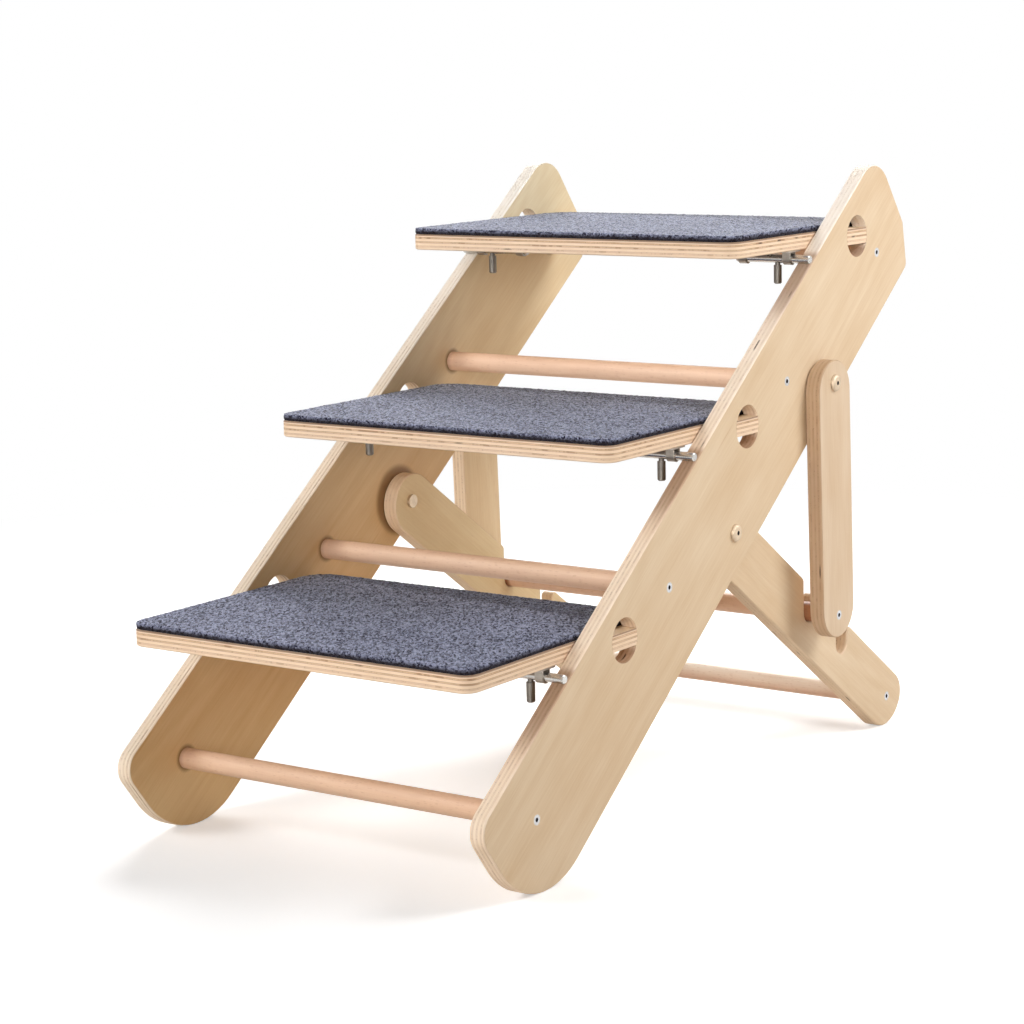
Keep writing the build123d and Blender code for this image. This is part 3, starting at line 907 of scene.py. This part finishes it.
class STAIRS_OT_carpets(bpy.types.Operator):
    """Model a carpet pad with ragged pile and lay one on every tread"""

    bl_idname = "stairs.carpets"
    bl_label = "Carpet pads"

    def execute(self, context):
        carpet = context.scene.stairs_carpet
        pad = self.cut_pad(carpet)
        tufts = noise_texture("tufts", "VORONOI", carpet.tuft_size, noise_intensity=1.3)
        fuzz = noise_texture("fuzz", "CLOUDS", carpet.tuft_size * 0.55, noise_depth=2)
        material = carpet_pile()
        for step in STEPS:
            select_only(pad)
            bpy.ops.object.duplicate()
            piece = context.active_object
            piece.name = f"carpet_pile_{step}"
            shift = middle_of(f"carpet_{step}") - middle_of("carpet_lower")
            piece.data.transform(Matrix.Translation(shift))
            self.raise_pile(piece, step, (tufts, fuzz), carpet.tuft_height)
            self.flatten_back(piece, step)
            bpy.ops.object.shade_smooth()
            piece.data.materials.clear()
            piece.data.materials.append(material)
            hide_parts(f"carpet_{step}")
            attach(piece, f"tread_{step}")
        bpy.data.objects.remove(pad)
        return {"FINISHED"}

    def cut_pad(self, carpet):
        """A slab with rounded corners, cut to the outline of the lower tread."""
        size = size_of("carpet_lower")
        inset = carpet.edge_inset
        bpy.ops.object.select_all(action="DESELECT")
        bpy.ops.mesh.primitive_cube_add(size=1.0, location=middle_of("carpet_lower"))
        pad = bpy.context.active_object
        pad.name = "carpet_pad"
        bpy.ops.object.mode_set(mode="EDIT")
        bpy.ops.mesh.select_all(action="SELECT")
        # Half of the tufts' height stays free above the slab
        bpy.ops.transform.resize(
            value=(size.x - 2 * inset, size.y - 2 * inset, size.z - carpet.tuft_height / 2)
        )
        bpy.ops.transform.translate(value=(0, 0, -carpet.tuft_height / 4))

        def upright(a, b):
            return abs(a.z - b.z) > size.z / 6

        def at_side(a):
            return abs(a.x) > size.x / 2 - CORNER_REGION

        pick_edges(lambda a, b: upright(a, b) and a.y < 0)
        bpy.ops.mesh.bevel(offset=FRONT_CORNER, segments=CORNER_SEGMENTS, affect="EDGES")
        pick_edges(lambda a, b: upright(a, b) and a.y > 0 and at_side(a))
        bpy.ops.mesh.bevel(offset=BACK_CORNER, segments=CORNER_SEGMENTS, affect="EDGES")
        bpy.ops.object.mode_set(mode="OBJECT")
        settle(pad)
        add_modifier(pad, "REMESH", mode="VOXEL", voxel_size=carpet.pile_cell)
        return pad

    def raise_pile(self, piece, step, textures, tuft_height):
        """Displace the pile, more the higher it stands, and keep its height and shade."""
        low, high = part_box(f"carpet_{step}")
        thickness = high.z - low.z
        held = piece.vertex_groups.new(name="pile")
        for vertex in piece.data.vertices:
            lift = (vertex.co.z - low.z) / thickness
            held.add([vertex.index], max(0.0, min(1.0, lift * PILE_FREEDOM)), "REPLACE")
        for texture in textures:
            add_modifier(
                piece, "DISPLACE", texture=texture, strength=tuft_height, mid_level=0.5,
                vertex_group="pile", texture_coords="LOCAL",
            )
        piece.vertex_groups.clear()

        points = [vertex.co for vertex in piece.data.vertices]
        heights = [(point.z - low.z) / thickness for point in points]
        # A painted shadow at the back of the pad, where the tread and the board above shade it
        shades = [
            (point.y - high.y + BACK_SHADOW_DEPTH + BACK_SHADOW_GAIN * point.x) / BACK_SHADOW_BORDER
            for point in points
        ]
        keep_numbers(piece, "pile_height", heights)
        keep_numbers(piece, "pile_shade", [max(0.0, min(1.0, shade)) for shade in shades])

    def flatten_back(self, piece, step):
        """Make the glued underside of the pad one flat face."""
        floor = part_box(f"carpet_{step}")[0].z
        select_only(piece)
        bpy.ops.object.mode_set(mode="EDIT")
        pick_faces(lambda normal, at: normal.z < -0.9 and at.z < floor + BACKING_HEIGHT)
        bpy.ops.mesh.dissolve_faces()
        bpy.ops.object.mode_set(mode="OBJECT")


class STAIRS_OT_barrel_bolts(bpy.types.Operator):
    """Finish the six barrel bolts under the treads"""

    bl_idname = "stairs.barrel_bolts"
    bl_label = "Barrel bolts"

    def execute(self, context):
        metal = context.scene.stairs_metal
        zinc = tuple(metal.zinc_colour)
        bright = tuple(metal.rod_colour)
        dark = tuple(c * 0.5 for c in zinc)
        kinds = {
            "plate": plated_metal("zinc_plate", zinc, 0.42, (40.0, 900.0, 900.0)),
            "rod": plated_metal("zinc_rod", bright, 0.24, (90.0, 900.0, 900.0)),
            "handle": plated_metal("zinc_knob", dark, 0.45, (900.0, 900.0, 90.0)),
        }
        for kind, material in kinds.items():
            dress([f"{side}_latch_{kind}_{step}" for step in STEPS for side in SIDES], material)
        return {"FINISHED"}


class STAIRS_OT_fasteners(bpy.types.Operator):
    """Finish the bolts, washers and screws"""

    bl_idname = "stairs.fasteners"
    bl_label = "Bolts and screws"

    def execute(self, context):
        metal = context.scene.stairs_metal
        steel = tuple(metal.steel_colour)
        brass = tuple(metal.brass_colour)
        fine = (700.0, 700.0, 700.0)
        screws = ("rail_screws_right", "rail_screws_left", "foot_rail_screws", "strut_bar_screws")
        for node in screws:
            low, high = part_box(node)
            head_x = max(abs(low.x), abs(high.x))
            dress([node], plated_metal(f"steel_{node}", steel, 0.45, fine, head_x=head_x))
        for part in ("leg", "strut"):
            node = f"{part}_pivot_bolts"
            dress([node], plated_metal(f"brass_{part}", brass, 0.6, fine, axis=middle_of(node)))
        sleeve_metal = plated_metal("brass_sleeve", brass, 0.5, fine)
        dress(["leg_pivot_sleeves", "strut_pivot_sleeves"], sleeve_metal)
        washer_metal = plated_metal("steel_washer", steel, 0.36, fine)
        dress(["leg_washers", "strut_washers"], washer_metal)
        return {"FINISHED"}


class STAIRS_OT_stage(bpy.types.Operator):
    """Add the floor, the lamps and the camera"""

    bl_idname = "stairs.stage"
    bl_label = "Stage"

    def execute(self, context):
        stage = context.scene.stairs_stage
        self.add_floor(stage)
        self.add_world(context.scene, stage)
        low_power = stage.key_power * LOW_SHARE
        left_power = stage.fill_power * LEFT_SHARE
        # Name, place, target, width, power and spread in degrees of each lamp
        lamps = (
            ("key_lamp", (1.7, 0.9, 1.75), STAIRS_MIDDLE, 1.3, stage.key_power, 180.0),
            ("front_lamp", (-3.5, -5.6, 4.8), STAIRS_MIDDLE, 3.6, stage.front_power, 180.0),
            ("low_lamp", (2.2, 2.2, 0.9), STAIRS_MIDDLE, 1.3, low_power, 180.0),
            ("fill_lamp", (3.9, -6.6, 2.6), UPPER_BACK, 3.2, stage.fill_power, 25.0),
            ("left_fill", (1.2, -7.8, 1.6), UPPER_BACK, 3.2, left_power, 25.0),
            ("back_lamp", (-2.6, 3.0, 2.4), STAIRS_MIDDLE, 1.8, stage.back_power, 180.0),
        )
        for lamp in lamps:
            self.add_lamp(*lamp)
        self.add_camera(context.scene)
        return {"FINISHED"}

    def add_floor(self, stage):
        """A wide floor that keeps the shadow of the stairs and turns white far away."""
        bpy.ops.object.select_all(action="DESELECT")
        bpy.ops.mesh.primitive_plane_add(size=FLOOR_SIDE, location=(0, 0, 0))
        floor = bpy.context.active_object
        floor.name = "floor"
        finish = Finish(bpy.data.materials.new("floor"))
        far = finish.length(finish.place()).ramp(FLOOR_NEAR, FLOOR_FAR)
        unseen = finish.node(
            "ShaderNodeBsdfDiffuse", None, {"Color": tuple(stage.floor_colour)}
        )
        matt = finish.node("ShaderNodeBsdfDiffuse", None, {"Color": FLOOR_SHOWN})
        glow = finish.node(
            "ShaderNodeEmission", None, {"Color": PLAIN, "Strength": FLOOR_GLOW}
        )
        near = finish.node("ShaderNodeAddShader", None, {0: matt, 1: glow})
        white = finish.node("ShaderNodeEmission", None, {"Color": PLAIN, "Strength": 1.0})
        shown = finish.node("ShaderNodeMixShader", None, {0: far, 1: near, 2: white})
        both = finish.node(
            "ShaderNodeMixShader", None, {0: finish.seen_rays(), 1: unseen, 2: shown}
        )
        finish.node("ShaderNodeOutputMaterial", None, {"Surface": both})
        floor.data.materials.append(finish.owner)

    def add_world(self, scene, stage):
        """Dim even light all round, which the camera sees as white."""
        scene.world = bpy.data.worlds.new("studio")
        finish = Finish(scene.world)
        strength = finish.seen_rays() * (1.0 - stage.sky_strength) + stage.sky_strength
        light = finish.node(
            "ShaderNodeBackground", None, {"Color": PLAIN, "Strength": strength}
        )
        finish.node("ShaderNodeOutputWorld", None, {"Surface": light})

    def add_lamp(self, name, place, target, width, power, spread):
        """A round lamp that points at its target."""
        lamp = bpy.data.lights.new(name, "AREA")
        lamp.shape = "DISK"
        lamp.size = width
        lamp.energy = power
        lamp.spread = math.radians(spread)
        obj = bpy.data.objects.new(name, lamp)
        bpy.context.scene.collection.objects.link(obj)
        obj.location = place
        aim = Vector(target) - Vector(place)
        obj.rotation_euler = aim.to_track_quat("-Z", "Y").to_euler()

    def add_camera(self, scene):
        """The camera at the height and angle from which the stairs are seen."""
        lens = bpy.data.cameras.new("camera")
        lens.lens = CAMERA_LENS
        lens.sensor_width = SENSOR_WIDTH
        camera = bpy.data.objects.new("camera", lens)
        scene.collection.objects.link(camera)
        camera.matrix_world = (
            Matrix.Translation(CAMERA_PLACE)
            @ Matrix.Rotation(CAMERA_YAW, 4, "Z")
            @ Matrix.Rotation(CAMERA_TILT, 4, "X")
            @ Matrix.Rotation(CAMERA_ROLL, 4, "Z")
        )
        scene.camera = camera
        scene.view_settings.view_transform = "Standard"


class STAIRS_PT_panel(bpy.types.Panel):
    """Lists the steps that finish the stairs"""

    bl_idname = "STAIRS_PT_panel"
    bl_label = "Pet Stairs"
    bl_space_type = "VIEW_3D"
    bl_region_type = "UI"
    bl_category = "Pet Stairs"

    def draw(self, context):
        column = self.layout.column(align=True)
        for operator in OPERATORS:
            column.operator(operator.bl_idname)
        for name, settings in SETTINGS:
            box = self.layout.box()
            for prop in settings.__annotations__:
                box.prop(getattr(context.scene, name), prop)


OPERATORS = (
    STAIRS_OT_boards,
    STAIRS_OT_rails,
    STAIRS_OT_carpets,
    STAIRS_OT_barrel_bolts,
    STAIRS_OT_fasteners,
    STAIRS_OT_stage,
)
SETTINGS = (
    ("stairs_wood", WoodSettings),
    ("stairs_carpet", CarpetSettings),
    ("stairs_metal", MetalSettings),
    ("stairs_stage", StageSettings),
)


def register():
    for name, settings in SETTINGS:
        bpy.utils.register_class(settings)
        setattr(bpy.types.Scene, name, bpy.props.PointerProperty(type=settings))
    for operator in OPERATORS:
        bpy.utils.register_class(operator)
    bpy.utils.register_class(STAIRS_PT_panel)


def unregister():
    bpy.utils.unregister_class(STAIRS_PT_panel)
    for operator in reversed(OPERATORS):
        bpy.utils.unregister_class(operator)
    for name, settings in reversed(SETTINGS):
        delattr(bpy.types.Scene, name)
        bpy.utils.unregister_class(settings)


def main():
    register()
    bpy.ops.stairs.boards()
    bpy.ops.stairs.rails()
    bpy.ops.stairs.carpets()
    bpy.ops.stairs.barrel_bolts()
    bpy.ops.stairs.fasteners()
    bpy.ops.stairs.stage()


if __name__ == "__main__":
    main()
